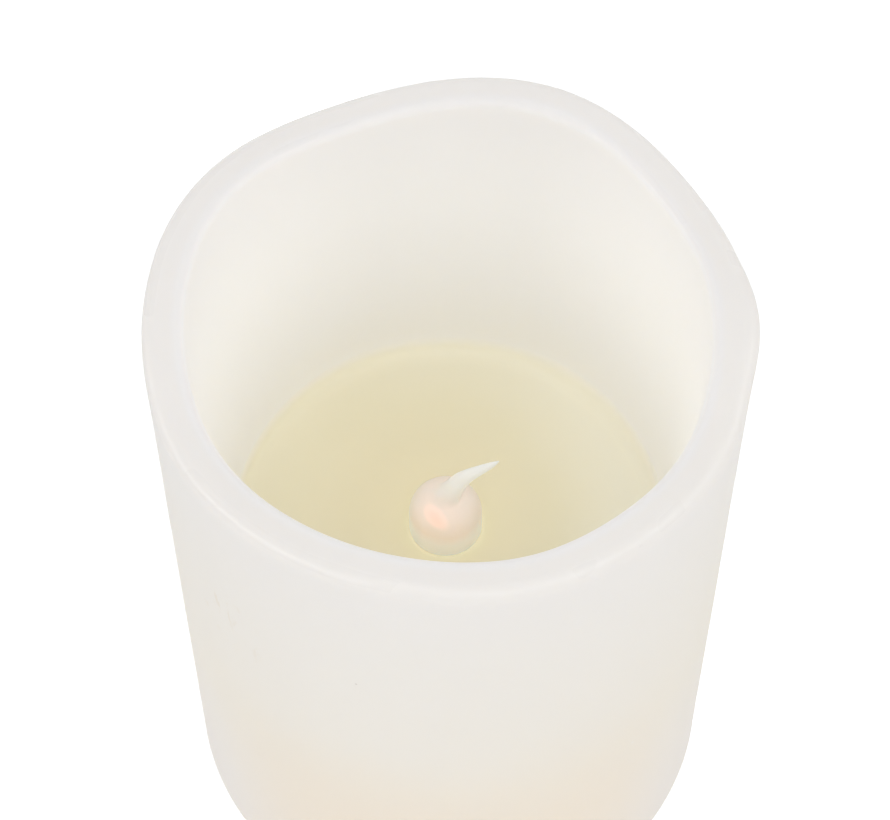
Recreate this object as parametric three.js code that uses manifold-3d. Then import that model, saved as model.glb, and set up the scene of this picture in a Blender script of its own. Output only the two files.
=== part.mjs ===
// A battery candle: a cast wax pillar with a deep cup and an uneven, melted-looking rim.
// A small flame-shaped bulb stands on the cup's floor. Its lamp sits on the column of a
// plastic insert, pressed into the underside, that holds two AAA cells, a control board,
// a three-position slide switch and a hinged battery door.
// Millimetres, +Z up. The origin is on the table under the candle's centre.
// +X is the door's latch side, and the switch is towards -Y.
import * as THREE from "three";
import { mergeVertices } from "three/addons/utils/BufferGeometryUtils.js";
import Module from "manifold-3d";

const wasm = await Module();
wasm.setup();

// ---- driving sizes ----
const GAP = 0.3; // left between two pieces that meet
const THIN_GAP = 0.1; // left between a small part and the board it is soldered to

const WAX_RADIUS = 37.5;
const RIM_HEIGHT = 100.75; // mean height of the rim's top
// The rim rises and falls round the candle: each wave has so many lobes, a height, and
// the bearing of one crest in degrees from +Y towards +X.
const RIM_WAVES = [
  { lobes: 1, height: 2.3, crest: -22 },
  { lobes: 2, height: 0.45, crest: 36 },
  { lobes: 3, height: 1.05, crest: 51 },
  { lobes: 4, height: 0.8, crest: 17 },
  { lobes: 5, height: 0.5, crest: 8 },
  { lobes: 6, height: 0.35, crest: 23 },
  { lobes: 7, height: 0.2, crest: -18 },
  { lobes: 8, height: 0.15, crest: -3 },
];
// On one side the rim leans out a little, over a short arc and a short depth.
const RIM_FLARE = { bearing: 88, half: 16, reach: 0.7, depth: 12 };
const RIM_INNER_RADIUS = 32.2;
const RIM_OUTER_ROUND = 2.0;
const RIM_INNER_ROUND = 1.2;
const CUP_FLOOR = 50.7; // height of the cup's floor
const CUP_FLOOR_RADIUS = 29.6; // the wall leans in towards it
const CUP_FLOOR_ROUND = 2.4;
const WAX_FOOT_ROUND = 1.2;

const BULB_RADIUS = 5.0;
const BULB_WALL = 1.0;
const BULB_DOME_CENTRE = CUP_FLOOR + 3.5;
const BULB_X = -0.45; // the bulb stands a little off the candle's axis

const PLATE_RADIUS = 31.0; // the insert's round base plate
const PLATE_BOTTOM = 1.2; // the plate is sunk into the wax, clear of the table
const PLATE_TOP = 4.0;
const COVER_WALL = 1.4;
const COVER_TOP = 18.6;
const COLUMN_RADIUS = 7.0;
const COLUMN_WALL = 1.6;
const COLUMN_TOP = 45.5;

const CELL_RADIUS = 5.25; // AAA
const CELL_LENGTH = 44.5;
const CELL_SPACING = 11.0; // between the two cells' axes
const CELL_HEIGHT = 8.45; // of the cells' axes above the table
const BAY_HALF_LENGTH = 25.4;
const BAY_HALF_WIDTH = 11.2;
const BAY_TOP = 14.2;
const BAY_WALL = 1.2;

const BOARD = { x: 11.0, y0: -26.5, y1: -14.0, z0: 9.0, z1: 10.2 };
const SWITCH_Y = -20.0;
const SWITCH_TRAVEL = 2.0; // each way from the middle position

const DOOR_HINGE = { x: -27.0, z: 2.3, radius: 1.1, pin: 0.7, half: 8.0 };
const DOOR_THICKNESS = 1.3;

// ---- small tools ----
const rad = THREE.MathUtils.degToRad;

// A closed three.js geometry as a manifold-3d solid.
function solid(geometry) {
  const bare = geometry.clone();
  bare.deleteAttribute("normal");
  bare.deleteAttribute("uv");
  const merged = mergeVertices(bare, 1e-4);
  return new wasm.Manifold(
    new wasm.Mesh({
      numProp: 3,
      vertProperties: new Float32Array(merged.attributes.position.array),
      triVerts: new Uint32Array(merged.index.array),
    }),
  );
}

// A manifold-3d solid as a three.js geometry.
function geometryOf(manifold) {
  const mesh = manifold.getMesh();
  const geometry = new THREE.BufferGeometry();
  geometry.setAttribute("position", new THREE.BufferAttribute(mesh.vertProperties, 3));
  geometry.setIndex(new THREE.BufferAttribute(mesh.triVerts, 1));
  return geometry;
}

function join(...geometries) {
  return geometryOf(geometries.map(solid).reduce((a, b) => a.add(b)));
}

function cut(geometry, ...tools) {
  return geometryOf(tools.map(solid).reduce((a, b) => a.subtract(b), solid(geometry)));
}

// A box between two corners.
function box([x0, x1], [y0, y1], [z0, z1]) {
  return new THREE.BoxGeometry(x1 - x0, y1 - y0, z1 - z0).translate(
    (x0 + x1) / 2,
    (y0 + y1) / 2,
    (z0 + z1) / 2,
  );
}

// An upright cylinder from z0 to z1.
function post(radius, [z0, z1], [x, y] = [0, 0], sides = 24) {
  return new THREE.CylinderGeometry(radius, radius, z1 - z0, sides)
    .rotateX(Math.PI / 2)
    .translate(x, y, (z0 + z1) / 2);
}

// A cylinder along Y from y0 to y1.
function rod(radius, [y0, y1], [x, z], sides = 24) {
  return new THREE.CylinderGeometry(radius, radius, y1 - y0, sides).translate(
    x,
    (y0 + y1) / 2,
    z,
  );
}

// A profile of [radius, height] pairs turned about the Z axis. It runs anticlockwise in
// the radius-height plane, and starts and ends on the axis or closes on itself.
function turned(profile, sides = 32) {
  const points = profile.map(([r, z]) => new THREE.Vector2(r, z));
  return new THREE.LatheGeometry(points, sides).rotateX(Math.PI / 2);
}

// Points on an arc in the radius-height plane.
function arc([r, z], radius, from, to, steps) {
  return Array.from({ length: steps + 1 }, (_, i) => {
    const angle = rad(from + ((to - from) * i) / steps);
    return [r + radius * Math.cos(angle), z + radius * Math.sin(angle)];
  });
}

// A rectangle with round corners, extruded from z0 to z1.
function roundedPlate([x0, x1], [y0, y1], [z0, z1], round) {
  const outline = new THREE.Shape();
  outline.moveTo(x0 + round, y0);
  outline.lineTo(x1 - round, y0);
  outline.absarc(x1 - round, y0 + round, round, -Math.PI / 2, 0);
  outline.lineTo(x1, y1 - round);
  outline.absarc(x1 - round, y1 - round, round, 0, Math.PI / 2);
  outline.lineTo(x0 + round, y1);
  outline.absarc(x0 + round, y1 - round, round, Math.PI / 2, Math.PI);
  outline.lineTo(x0, y0 + round);
  outline.absarc(x0 + round, y0 + round, round, Math.PI, 1.5 * Math.PI);
  return new THREE.ExtrudeGeometry(outline, {
    depth: z1 - z0,
    bevelEnabled: false,
    curveSegments: 5,
  }).translate(0, 0, z0);
}

// A skin over rings of points, each ring with the same number of points. A closed skin
// joins its last ring to its first; an open one ends in a fan at each end.
function skin(rings, closed) {
  const sides = rings[0].length;
  const points = rings.flat();
  const faces = [];
  const spans = closed ? rings.length : rings.length - 1;
  for (let i = 0; i < spans; i++) {
    const low = i * sides;
    const high = ((i + 1) % rings.length) * sides;
    for (let k = 0; k < sides; k++) {
      const next = (k + 1) % sides;
      faces.push(low + k, low + next, high + next, low + k, high + next, high + k);
    }
  }
  if (!closed) {
    for (const [ring, turn] of [[0, true], [rings.length - 1, false]]) {
      const middle = new THREE.Vector3();
      rings[ring].forEach((p) => middle.addScaledVector(p, 1 / sides));
      const hub = points.push(middle) - 1;
      for (let k = 0; k < sides; k++) {
        const a = ring * sides + k;
        const b = ring * sides + ((k + 1) % sides);
        faces.push(hub, turn ? b : a, turn ? a : b);
      }
    }
  }
  const geometry = new THREE.BufferGeometry().setFromPoints(points);
  geometry.setIndex(faces);
  return geometry;
}

// A round wire along a smooth curve through points.
function wire(points, radius, steps, sides = 8) {
  const path = new THREE.CatmullRomCurve3(points.map((p) => new THREE.Vector3(...p)));
  return sweep(path, radius, steps, sides);
}

function sweep(path, radius, steps, sides) {
  const section = new THREE.Shape(
    Array.from({ length: sides }, (_, i) => {
      const angle = (2 * Math.PI * i) / sides;
      return new THREE.Vector2(radius * Math.cos(angle), radius * Math.sin(angle));
    }),
  );
  return new THREE.ExtrudeGeometry(section, { steps, extrudePath: path });
}

// ---- materials ----
function material(color, roughness, metalness = 0) {
  return new THREE.MeshStandardMaterial({ color, roughness, metalness });
}
const WAX = material(0xf2ede2, 0.45);
const FROSTED = material(0xf3e6d8, 0.4);
const CLEAR_EPOXY = material(0xffc890, 0.1);
const WHITE_PLASTIC = material(0xecebe6, 0.45);
const BLACK_PLASTIC = material(0x1c1c1e, 0.4);
const STEEL = material(0xc8cacc, 0.3, 1);
const LABEL = material(0x2f5d86, 0.35);
const BOARD_GREEN = material(0x1f6a3c, 0.45);
const RED_PVC = material(0xb8231c, 0.5);
const BLACK_PVC = material(0x151515, 0.5);
const BROWN = material(0xc7a878, 0.5);

const candle = new THREE.Group();
function add(name, geometry, finish) {
  const mesh = new THREE.Mesh(geometry, finish);
  mesh.name = name;
  candle.add(mesh);
}

// ---- the wax pillar ----
function rimHeight(bearing) {
  return RIM_WAVES.reduce(
    (sum, w) => sum + w.height * Math.cos(w.lobes * (bearing - rad(w.crest))),
    RIM_HEIGHT,
  );
}

const CAVITY_RADIUS = PLATE_RADIUS + 0.4;
const CAVITY_TOP = COVER_TOP + 0.4;
const COLUMN_BORE = COLUMN_RADIUS + 0.4;
const COLUMN_BORE_TOP = COLUMN_TOP + 0.5;
const BULB_HOLE = BULB_RADIUS + 0.3;

// How far the rim leans out at a bearing.
function rimFlare(bearing) {
  const turn = bearing - rad(RIM_FLARE.bearing);
  const away = Math.abs(Math.atan2(Math.sin(turn), Math.cos(turn))) / rad(RIM_FLARE.half);
  return away < 1 ? RIM_FLARE.reach * Math.cos((Math.PI / 2) * away) ** 2 : 0;
}

// The pillar's section at one bearing, anticlockwise from the outer foot, as radius,
// height and the shift along X of the bulb's hole.
function waxSection(top, flare) {
  const foot = [WAX_RADIUS - WAX_FOOT_ROUND, WAX_FOOT_ROUND];
  const lip = [WAX_RADIUS + flare - RIM_OUTER_ROUND, top - RIM_OUTER_ROUND];
  const mouth = [RIM_INNER_RADIUS + RIM_INNER_ROUND, top - RIM_INNER_ROUND];
  const corner = [CUP_FLOOR_RADIUS - CUP_FLOOR_ROUND, CUP_FLOOR + CUP_FLOOR_ROUND];
  return [
    ...arc(foot, WAX_FOOT_ROUND, -90, 0, 2),
    [WAX_RADIUS, top - RIM_FLARE.depth],
    [WAX_RADIUS + flare / 2, top - RIM_FLARE.depth / 2],
    ...arc(lip, RIM_OUTER_ROUND, 0, 90, 4),
    ...arc(mouth, RIM_INNER_ROUND, 90, 180, 3),
    ...arc(corner, CUP_FLOOR_ROUND, 0, -90, 4),
    [BULB_HOLE, CUP_FLOOR, BULB_X],
    [BULB_HOLE, COLUMN_BORE_TOP, BULB_X],
    [COLUMN_BORE, COLUMN_BORE_TOP],
    [COLUMN_BORE, CAVITY_TOP],
    [CAVITY_RADIUS, CAVITY_TOP],
    [CAVITY_RADIUS, 0],
  ];
}

function waxBody() {
  const bearings = 72;
  const sections = Array.from({ length: bearings }, (_, k) => {
    const bearing = -(2 * Math.PI * k) / bearings;
    const [x, y] = [Math.sin(bearing), Math.cos(bearing)];
    return waxSection(rimHeight(bearing), rimFlare(bearing)).map(
      ([r, z, shift = 0]) => new THREE.Vector3(r * x + shift, r * y, z),
    );
  });
  const rings = sections[0].map((_, i) => sections.map((section) => section[i]));
  return skin(rings, true);
}
add("wax_body", waxBody(), WAX);

// ---- the flame bulb: a hollow skirt and dome, drawn out into a curved solid tip ----
function ring(centre, along, radius, sides = 20) {
  const turn = new THREE.Quaternion().setFromUnitVectors(new THREE.Vector3(0, 0, 1), along);
  return Array.from({ length: sides }, (_, k) => {
    const angle = (2 * Math.PI * k) / sides;
    const spoke = new THREE.Vector3(Math.cos(angle), Math.sin(angle), 0);
    return spoke.multiplyScalar(radius).applyQuaternion(turn).add(centre);
  });
}

const UP = new THREE.Vector3(0, 0, 1);
const BULB_FOOT = COLUMN_TOP + 0.7;

// The skirt and dome as rings, up to where the dome has turned through an angle.
function domeRings(radius, lastAngle, steps) {
  const rings = [ring(new THREE.Vector3(BULB_X, 0, BULB_FOOT), UP, radius)];
  for (let i = 0; i <= steps; i++) {
    const angle = rad((lastAngle * i) / steps);
    const height = BULB_DOME_CENTRE + radius * Math.sin(angle);
    rings.push(ring(new THREE.Vector3(BULB_X, 0, height), UP, radius * Math.cos(angle)));
  }
  return rings;
}

// The tip leaves the top of the dome as a narrow leaf that leans over towards +X.
function tipRings() {
  const spine = new THREE.CatmullRomCurve3([
    new THREE.Vector3(-0.1, 0, CUP_FLOOR + 8.4),
    new THREE.Vector3(0.4, 0, CUP_FLOOR + 9.5),
    new THREE.Vector3(1.5, 0.1, CUP_FLOOR + 11.75),
    new THREE.Vector3(2.7, 0.2, CUP_FLOOR + 13.1),
    new THREE.Vector3(3.95, 0.25, CUP_FLOOR + 14.15),
    new THREE.Vector3(5.2, 0.3, CUP_FLOOR + 15.2),
    new THREE.Vector3(6.6, 0.3, CUP_FLOOR + 16.65),
  ]);
  const steps = 9;
  return Array.from({ length: steps + 1 }, (_, i) => {
    const t = i / steps;
    const radius = 0.1 + 1.6 * (1 - t) ** 0.9;
    return ring(spine.getPoint(t), spine.getTangent(t), radius);
  });
}

const bulbInside = domeRings(BULB_RADIUS - BULB_WALL, 84, 5).reverse();
const bulbOutside = domeRings(BULB_RADIUS, 66, 6);
add("flame_bulb", skin([...bulbInside, ...bulbOutside, ...tipRings()], false), FROSTED);

// ---- the lamp, its leads, sleeves and holder ----
const LED_FOOT = BULB_FOOT;
const LEAD_X = 1.27;
const LEAD_END = 35.0;
const LED_DOME = LED_FOOT + 5.5;
add(
  "led_lamp",
  turned([[0, LED_FOOT], [2.9, LED_FOOT], [2.9, LED_FOOT + 1], [2.5, LED_FOOT + 1],
    ...arc([0, LED_DOME], 2.5, 0, 90, 5)], 20),
  CLEAR_EPOXY,
);

const HOLDER = { radius: COLUMN_RADIUS - COLUMN_WALL - 0.2, low: 41.0, high: COLUMN_TOP + 0.3 };
add(
  "led_holder",
  cut(
    post(HOLDER.radius, [HOLDER.low, HOLDER.high], [0, 0], 28),
    post(0.6, [HOLDER.low - 1, HOLDER.high + 1], [LEAD_X, 0], 12),
    post(0.6, [HOLDER.low - 1, HOLDER.high + 1], [-LEAD_X, 0], 12),
  ),
  BLACK_PLASTIC,
);

const SLEEVE = { radius: 1.05, bore: 0.75, low: 31.0, high: 38.0 };
for (const [side, lead] of [[1, "anode"], [-1, "cathode"]]) {
  const x = side * LEAD_X;
  add(
    `led_${lead}_lead`,
    box([x - 0.25, x + 0.25], [-0.25, 0.25], [LEAD_END, LED_FOOT - THIN_GAP]),
    STEEL,
  );
  add(
    `${lead}_sleeve`,
    turned([[SLEEVE.bore, SLEEVE.low], [SLEEVE.radius, SLEEVE.low],
      [SLEEVE.radius, SLEEVE.high], [SLEEVE.bore, SLEEVE.high],
      [SLEEVE.bore, SLEEVE.low]], 14).translate(x, 0, 0),
    BLACK_PVC,
  );
}

// ---- the insert's base plate, with the battery bay moulded on it ----
const SCREWS = [[-17.5, -20.5], [17.5, -20.5], [0, 21.5]];
const BOARD_SCREWS = [[-9.0, -24.0], [9.0, -24.0]];
const DOOR_TOP = PLATE_BOTTOM + DOOR_THICKNESS;
const DOOR = { x0: -24.7, x1: 26.9, y: 12.6, round: 2.0 };
const RECESS_TOP = DOOR_TOP + GAP;
const BAY_ROOF = BAY_TOP + BAY_WALL;
const TAB = { half: 1.2, slot: 1.6, top: BAY_ROOF + 1.4 };
const ends = [PLATE_BOTTOM - 1, PLATE_TOP + 1];
const cellY = CELL_SPACING / 2;

function basePlate() {
  const plate = post(PLATE_RADIUS, [PLATE_BOTTOM, PLATE_TOP], [0, 0], 64);
  const bay = box(
    [-BAY_HALF_LENGTH - BAY_WALL, BAY_HALF_LENGTH + BAY_WALL],
    [-BAY_HALF_WIDTH - BAY_WALL, BAY_HALF_WIDTH + BAY_WALL],
    [PLATE_TOP - 1, BAY_ROOF],
  );
  const boardPosts = BOARD_SCREWS.map((at) => post(1.9, [PLATE_TOP - 1, BOARD.z0 - THIN_GAP], at, 16));
  const whole = join(plate, bay, ...boardPosts);
  const hinge = [DOOR_HINGE.x, DOOR_HINGE.z];
  return cut(
    whole,
    box([-BAY_HALF_LENGTH, BAY_HALF_LENGTH], [-BAY_HALF_WIDTH, BAY_HALF_WIDTH], [0, BAY_TOP]),
    roundedPlate([DOOR.x0 - GAP, DOOR.x1 + GAP], [-DOOR.y - GAP, DOOR.y + GAP],
      [0, RECESS_TOP], DOOR.round + GAP),
    // The hinge's slot, its pin bores and the finger notch at the latch.
    box([DOOR_HINGE.x - 1.5, DOOR.x0], [-DOOR_HINGE.half - GAP, DOOR_HINGE.half + GAP],
      [0, DOOR_HINGE.z + 1.4]),
    rod(DOOR_HINGE.pin + 0.06, [-DOOR_HINGE.half - 2.2, DOOR_HINGE.half + 2.2], hinge),
    post(3.4, [0, RECESS_TOP], [DOOR.x1 - 0.6, 0], 24),
    // The switch's slot and the dish round it.
    box([-SWITCH_TRAVEL - 1.2, SWITCH_TRAVEL + 1.2], [SWITCH_Y - 1.1, SWITCH_Y + 1.1], ends),
    roundedPlate([-6.5, 6.5], [SWITCH_Y - 3.6, SWITCH_Y + 3.6], [0, PLATE_BOTTOM + 1.1], 3.5),
    // Slots in the bay's roof for the two contact tabs.
    ...[-cellY, cellY].map((y) =>
      box([BAY_HALF_LENGTH - 1.2, BAY_HALF_LENGTH], [y - TAB.slot, y + TAB.slot],
        [BAY_TOP - 1, BAY_ROOF + 1]),
    ),
    // Screw holes: a counterbore from below and a clearance hole.
    ...SCREWS.flatMap((at) => [post(2.6, [0, PLATE_BOTTOM + 1.6], at), post(1.4, ends, at, 16)]),
    ...BOARD_SCREWS.map((at) => post(0.9, [PLATE_TOP + 0.5, BOARD.z0 + 1], at, 12)),
  );
}
add("insert_base", basePlate(), WHITE_PLASTIC);

// ---- the insert's cover, with the column that carries the lamp ----
const COVER_FOOT = PLATE_TOP + GAP;
const COVER_ROOF = COVER_TOP - COVER_WALL;
const COLUMN_INSIDE = COLUMN_RADIUS - COLUMN_WALL;

function insertCover() {
  const inside = PLATE_RADIUS - COVER_WALL;
  const shell = turned(
    [
      [inside, COVER_FOOT],
      [PLATE_RADIUS, COVER_FOOT],
      ...arc([PLATE_RADIUS - 1.5, COVER_TOP - 1.5], 1.5, 0, 90, 3),
      [COLUMN_RADIUS, COVER_TOP],
      [COLUMN_RADIUS, COLUMN_TOP],
      [COLUMN_INSIDE, COLUMN_TOP],
      [COLUMN_INSIDE, COVER_ROOF],
      [inside, COVER_ROOF],
      [inside, COVER_FOOT],
    ],
    48,
  );
  const bosses = SCREWS.map((at) => post(2.9, [COVER_FOOT, COVER_ROOF + 0.7], at, 20));
  return cut(
    join(shell, ...bosses),
    ...SCREWS.map((at) => post(1.15, [COVER_FOOT - 1, 14], at, 16)),
  );
}
add("insert_cover", insertCover(), WHITE_PLASTIC);

// ---- screws, with a cross recess ----
function screw([x, y], head, shank, [foot, seat, end], up) {
  // foot is the head's outer face, seat its under side and end the tip of the shank.
  const low = (a, b) => [Math.min(a, b), Math.max(a, b)];
  const body = join(
    post(head, low(foot, seat), [x, y], 20),
    post(shank, low(seat - up * 0.2, end), [x, y], 14),
  );
  const recess = low(foot - up, foot + up * 0.6);
  return cut(
    body,
    box([x - head * 0.55, x + head * 0.55], [y - 0.22, y + 0.22], recess),
    box([x - 0.22, x + 0.22], [y - head * 0.55, y + head * 0.55], recess),
  );
}
SCREWS.forEach((at, i) => {
  const seat = PLATE_BOTTOM + 1.6 - THIN_GAP;
  add(`case_screw_${i + 1}`, screw(at, 2.2, 1.0, [seat - 1.2, seat, 12.5], 1), STEEL);
});
BOARD_SCREWS.forEach((at, i) => {
  const seat = BOARD.z1 + THIN_GAP;
  add(`board_screw_${i + 1}`, screw(at, 1.6, 0.75, [seat + 0.9, seat, 5.2], -1), STEEL);
});

// ---- the battery door, which swings down about its pins ----
function batteryDoor() {
  const hinge = [DOOR_HINGE.x, DOOR_HINGE.z];
  const half = DOOR_HINGE.half;
  const panel = roundedPlate([DOOR.x0, DOOR.x1], [-DOOR.y, DOOR.y],
    [PLATE_BOTTOM, DOOR_TOP], DOOR.round);
  const web = box([DOOR_HINGE.x, DOOR.x0 + 1], [-half, half], [PLATE_BOTTOM, DOOR_TOP]);
  const grips = [0, 1, 2].map((i) =>
    box([20.6 + 1.6 * i, 21.4 + 1.6 * i], [-3, 3], [PLATE_BOTTOM - 0.5, PLATE_BOTTOM + 0.5]));
  const through = [PLATE_BOTTOM - 1, DOOR_TOP + 1];
  return cut(
    join(
      panel,
      web,
      rod(DOOR_HINGE.radius, [-half, half], hinge),
      rod(DOOR_HINGE.pin, [-half - 1.6, half + 1.6], hinge),
      ...grips,
    ),
    // Two slots free the latch tongue, so that it can bend.
    box([18.5, DOOR.x1 + 1], [-5.2, -4.2], through),
    box([18.5, DOOR.x1 + 1], [4.2, 5.2], through),
  );
}
add("battery_door", batteryDoor(), WHITE_PLASTIC);

// ---- the two cells, end to end in opposite directions ----
function cell() {
  const nub = 0.9;
  const end = CELL_LENGTH / 2;
  const can = end - nub;
  return turned(
    [[0, -end], [3.8, -end], [CELL_RADIUS - 0.3, -end + 0.3], [CELL_RADIUS, -end + 0.7],
      [CELL_RADIUS, can - 0.6], [CELL_RADIUS - 0.5, can], [1.9, can], [1.8, end - 0.15],
      [1.5, end], [0, end]],
    24,
  ).rotateY(Math.PI / 2);
}
const CONTACT_FACE = BAY_HALF_LENGTH - 0.7; // the contacts' inner faces
const DIMPLE = 1.2;
const CELL_SHIFT = CONTACT_FACE - DIMPLE - GAP - CELL_LENGTH / 2;
add("battery_1", cell().translate(CELL_SHIFT, -cellY, CELL_HEIGHT), LABEL);
add(
  "battery_2",
  cell().rotateZ(Math.PI).translate(-CELL_SHIFT, cellY, CELL_HEIGHT),
  LABEL,
);

// ---- contacts: plates against the bay's ends, springs on the negative side ----
const CONTACT = { thick: 0.4, low: 4.4, high: 13.4, half: 4.0 };

function contactPlate(side, [y0, y1]) {
  const x = [side * CONTACT_FACE, side * (CONTACT_FACE + CONTACT.thick)].sort((a, b) => a - b);
  return box(x, [y0, y1], [CONTACT.low, CONTACT.high]);
}

function dimple(side, y) {
  // A pressed cone that meets the cell's nub.
  const tip = CONTACT_FACE - DIMPLE;
  const cone = turned([[0, 0], [3.0, 0], [1.6, DIMPLE + 0.1], [0, DIMPLE + 0.1]], 16)
    .rotateY(-Math.PI / 2)
    .translate(tip + DIMPLE + 0.1, 0, 0);
  return (side > 0 ? cone : cone.rotateZ(Math.PI)).translate(0, y, CELL_HEIGHT);
}

function solderTab(side, y) {
  const x = [side * CONTACT_FACE, side * (CONTACT_FACE + CONTACT.thick)].sort((a, b) => a - b);
  return box(x, [y - TAB.half, y + TAB.half], [CONTACT.high - 1, TAB.top]);
}

add(
  "positive_contact",
  join(
    contactPlate(1, [-cellY - CONTACT.half, -cellY + CONTACT.half]),
    dimple(1, -cellY),
    solderTab(1, -cellY),
  ),
  STEEL,
);
add(
  "negative_contact",
  join(
    contactPlate(1, [cellY - CONTACT.half, cellY + CONTACT.half]),
    solderTab(1, cellY),
  ),
  STEEL,
);
add(
  "bridge_contact",
  join(
    contactPlate(-1, [-cellY - CONTACT.half, cellY + CONTACT.half]),
    dimple(-1, cellY),
  ),
  STEEL,
);

// A conical spring between a contact and a cell's flat end, drawn as it is when pressed.
class Coil extends THREE.Curve {
  constructor(start, end, wide, narrow, turns) {
    super();
    Object.assign(this, { start, end, wide, narrow, turns });
  }
  getPoint(t) {
    const angle = 2 * Math.PI * this.turns * t;
    const radius = this.wide + (this.narrow - this.wide) * t;
    return new THREE.Vector3(
      this.start + (this.end - this.start) * t,
      radius * Math.cos(angle),
      radius * Math.sin(angle),
    );
  }
}
const SPRING_WIRE = 0.28;
function spring(side, y) {
  const start = CONTACT_FACE - GAP - SPRING_WIRE;
  const end = CELL_LENGTH / 2 - CELL_SHIFT + GAP + SPRING_WIRE;
  const path = new Coil(side * start, side * end, 3.6, 2.4, 3);
  return sweep(path, SPRING_WIRE, 42, 6).translate(0, y, CELL_HEIGHT);
}
add("negative_spring", spring(1, cellY), STEEL);
add("bridge_spring", spring(-1, -cellY), STEEL);

// ---- the control board and what is soldered on it ----
const boardTop = BOARD.z1 + THIN_GAP;
add(
  "circuit_board",
  cut(
    roundedPlate([-BOARD.x, BOARD.x], [BOARD.y0, BOARD.y1], [BOARD.z0, BOARD.z1], 1),
    ...BOARD_SCREWS.map((at) => post(1.0, [BOARD.z0 - 1, BOARD.z1 + 1], at, 14)),
  ),
  BOARD_GREEN,
);

function controlChip([x, y]) {
  const legs = [-1.905, -0.635, 0.635, 1.905].flatMap((dx) => [
    box([x + dx - 0.2, x + dx + 0.2], [y - 3, y + 3], [boardTop, boardTop + 0.25]),
  ]);
  return join(
    box([x - 2.45, x + 2.45], [y - 1.95, y + 1.95], [boardTop + 0.1, boardTop + 1.6]),
    ...legs,
  );
}
add("control_chip", controlChip([-4.2, -20.0]), BLACK_PLASTIC);

function capacitor([x, y]) {
  return turned([[0, boardTop], [2, boardTop], [2, boardTop + 0.6], [1.85, boardTop + 0.8],
    [2, boardTop + 1.0], [2, boardTop + 4.7], [1.7, boardTop + 5], [0, boardTop + 5]], 20)
    .translate(x, y, 0);
}
add("capacitor", capacitor([3.2, -18.6]), BLACK_PLASTIC);

function crystal([x, y]) {
  return rod(1.0, [y - 2.5, y + 2.5], [x, boardTop + 1.0], 16);
}
add("timer_crystal", crystal([7.6, -19.7]), STEEL);

function resistor([x, y]) {
  const height = boardTop + 1.2;
  const body = rod(0.8, [-1.9, 1.9], [0, 0], 14);
  const caps = [-1.5, 1.5].map((at) => rod(0.95, [at - 0.5, at + 0.5], [0, 0], 14));
  const lead = box([-0.25, 0.25], [-3.2, 3.2], [-0.25, 0.25]);
  const legs = [-3.2, 3.2].map((at) => box([-0.25, 0.25], [at - 0.25, at + 0.25], [-1.2, 0.25]));
  return join(body, ...caps, lead, ...legs).rotateZ(Math.PI / 2).translate(x, y, height);
}
add("led_resistor", resistor([-0.8, -24.4]), BROWN);

// ---- the slide switch under the board ----
const CAN = { x: 4.3, y: 1.85, z0: 4.5, z1: BOARD.z0 - THIN_GAP, wall: 0.3 };
add(
  "switch_can",
  cut(
    box([-CAN.x, CAN.x], [SWITCH_Y - CAN.y, SWITCH_Y + CAN.y], [CAN.z0, CAN.z1]),
    box([CAN.wall - CAN.x, CAN.x - CAN.wall],
      [SWITCH_Y - CAN.y + CAN.wall, SWITCH_Y + CAN.y - CAN.wall], [CAN.z0 + CAN.wall, CAN.z1 + 1]),
    box([-SWITCH_TRAVEL - 1.1, SWITCH_TRAVEL + 1.1], [SWITCH_Y - 0.9, SWITCH_Y + 0.9],
      [CAN.z0 - 1, CAN.z0 + 1]),
  ),
  STEEL,
);
add(
  "switch_wafer",
  box([-3.8, 3.8], [SWITCH_Y - 1.35, SWITCH_Y + 1.35], [CAN.z1 - 1.3, CAN.z1]),
  BROWN,
);
add(
  "switch_knob",
  join(
    box([-1.6, 1.6], [SWITCH_Y - 1.2, SWITCH_Y + 1.2], [5.1, 7.2]),
    box([-0.8, 0.8], [SWITCH_Y - 0.6, SWITCH_Y + 0.6], [PLATE_BOTTOM + 0.4, 6]),
  ),
  BLACK_PLASTIC,
);

// ---- wires inside the insert ----
const WIRE = 0.5;
const loft = (BAY_ROOF + COVER_ROOF) / 2; // height of the wires over the bay's roof
const wireFoot = boardTop + 0.1;
const WIRE_LAND_Y = -15.8;
for (const [side, name, finish] of [[1, "lamp_wire_red", RED_PVC], [-1, "lamp_wire_black", BLACK_PVC]]) {
  add(
    name,
    wire(
      [
        [side * LEAD_X, 0, LEAD_END - GAP],
        [side * LEAD_X, 0, 30],
        [side * LEAD_X, 0, 24],
        [side * LEAD_X, -0.7, 20],
        [side * 1.5, -3.0, 17.2],
        [side * 1.8, -6.2, loft],
        [side * 2.4, -10, loft],
        [side * 3.4, -13.2, loft - 0.2],
        [side * 4.2, -15.4, 14.4],
        [side * 4.4, WIRE_LAND_Y, 12.4],
        [side * 4.4, WIRE_LAND_Y, wireFoot],
      ],
      WIRE,
      28,
    ),
    finish,
  );
}
const TAB_FACE = CONTACT_FACE - GAP;
add(
  "battery_wire_red",
  wire(
    [
      [TAB_FACE, -cellY, loft],
      [21.5, -6.0, loft],
      [17, -8.2, loft],
      [13, -11, loft],
      [10.4, -13.6, loft - 0.2],
      [9.4, -15.4, 14.4],
      [9.2, WIRE_LAND_Y, 12.4],
      [9.2, WIRE_LAND_Y, wireFoot],
    ],
    WIRE,
    22,
  ),
  RED_PVC,
);
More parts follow.
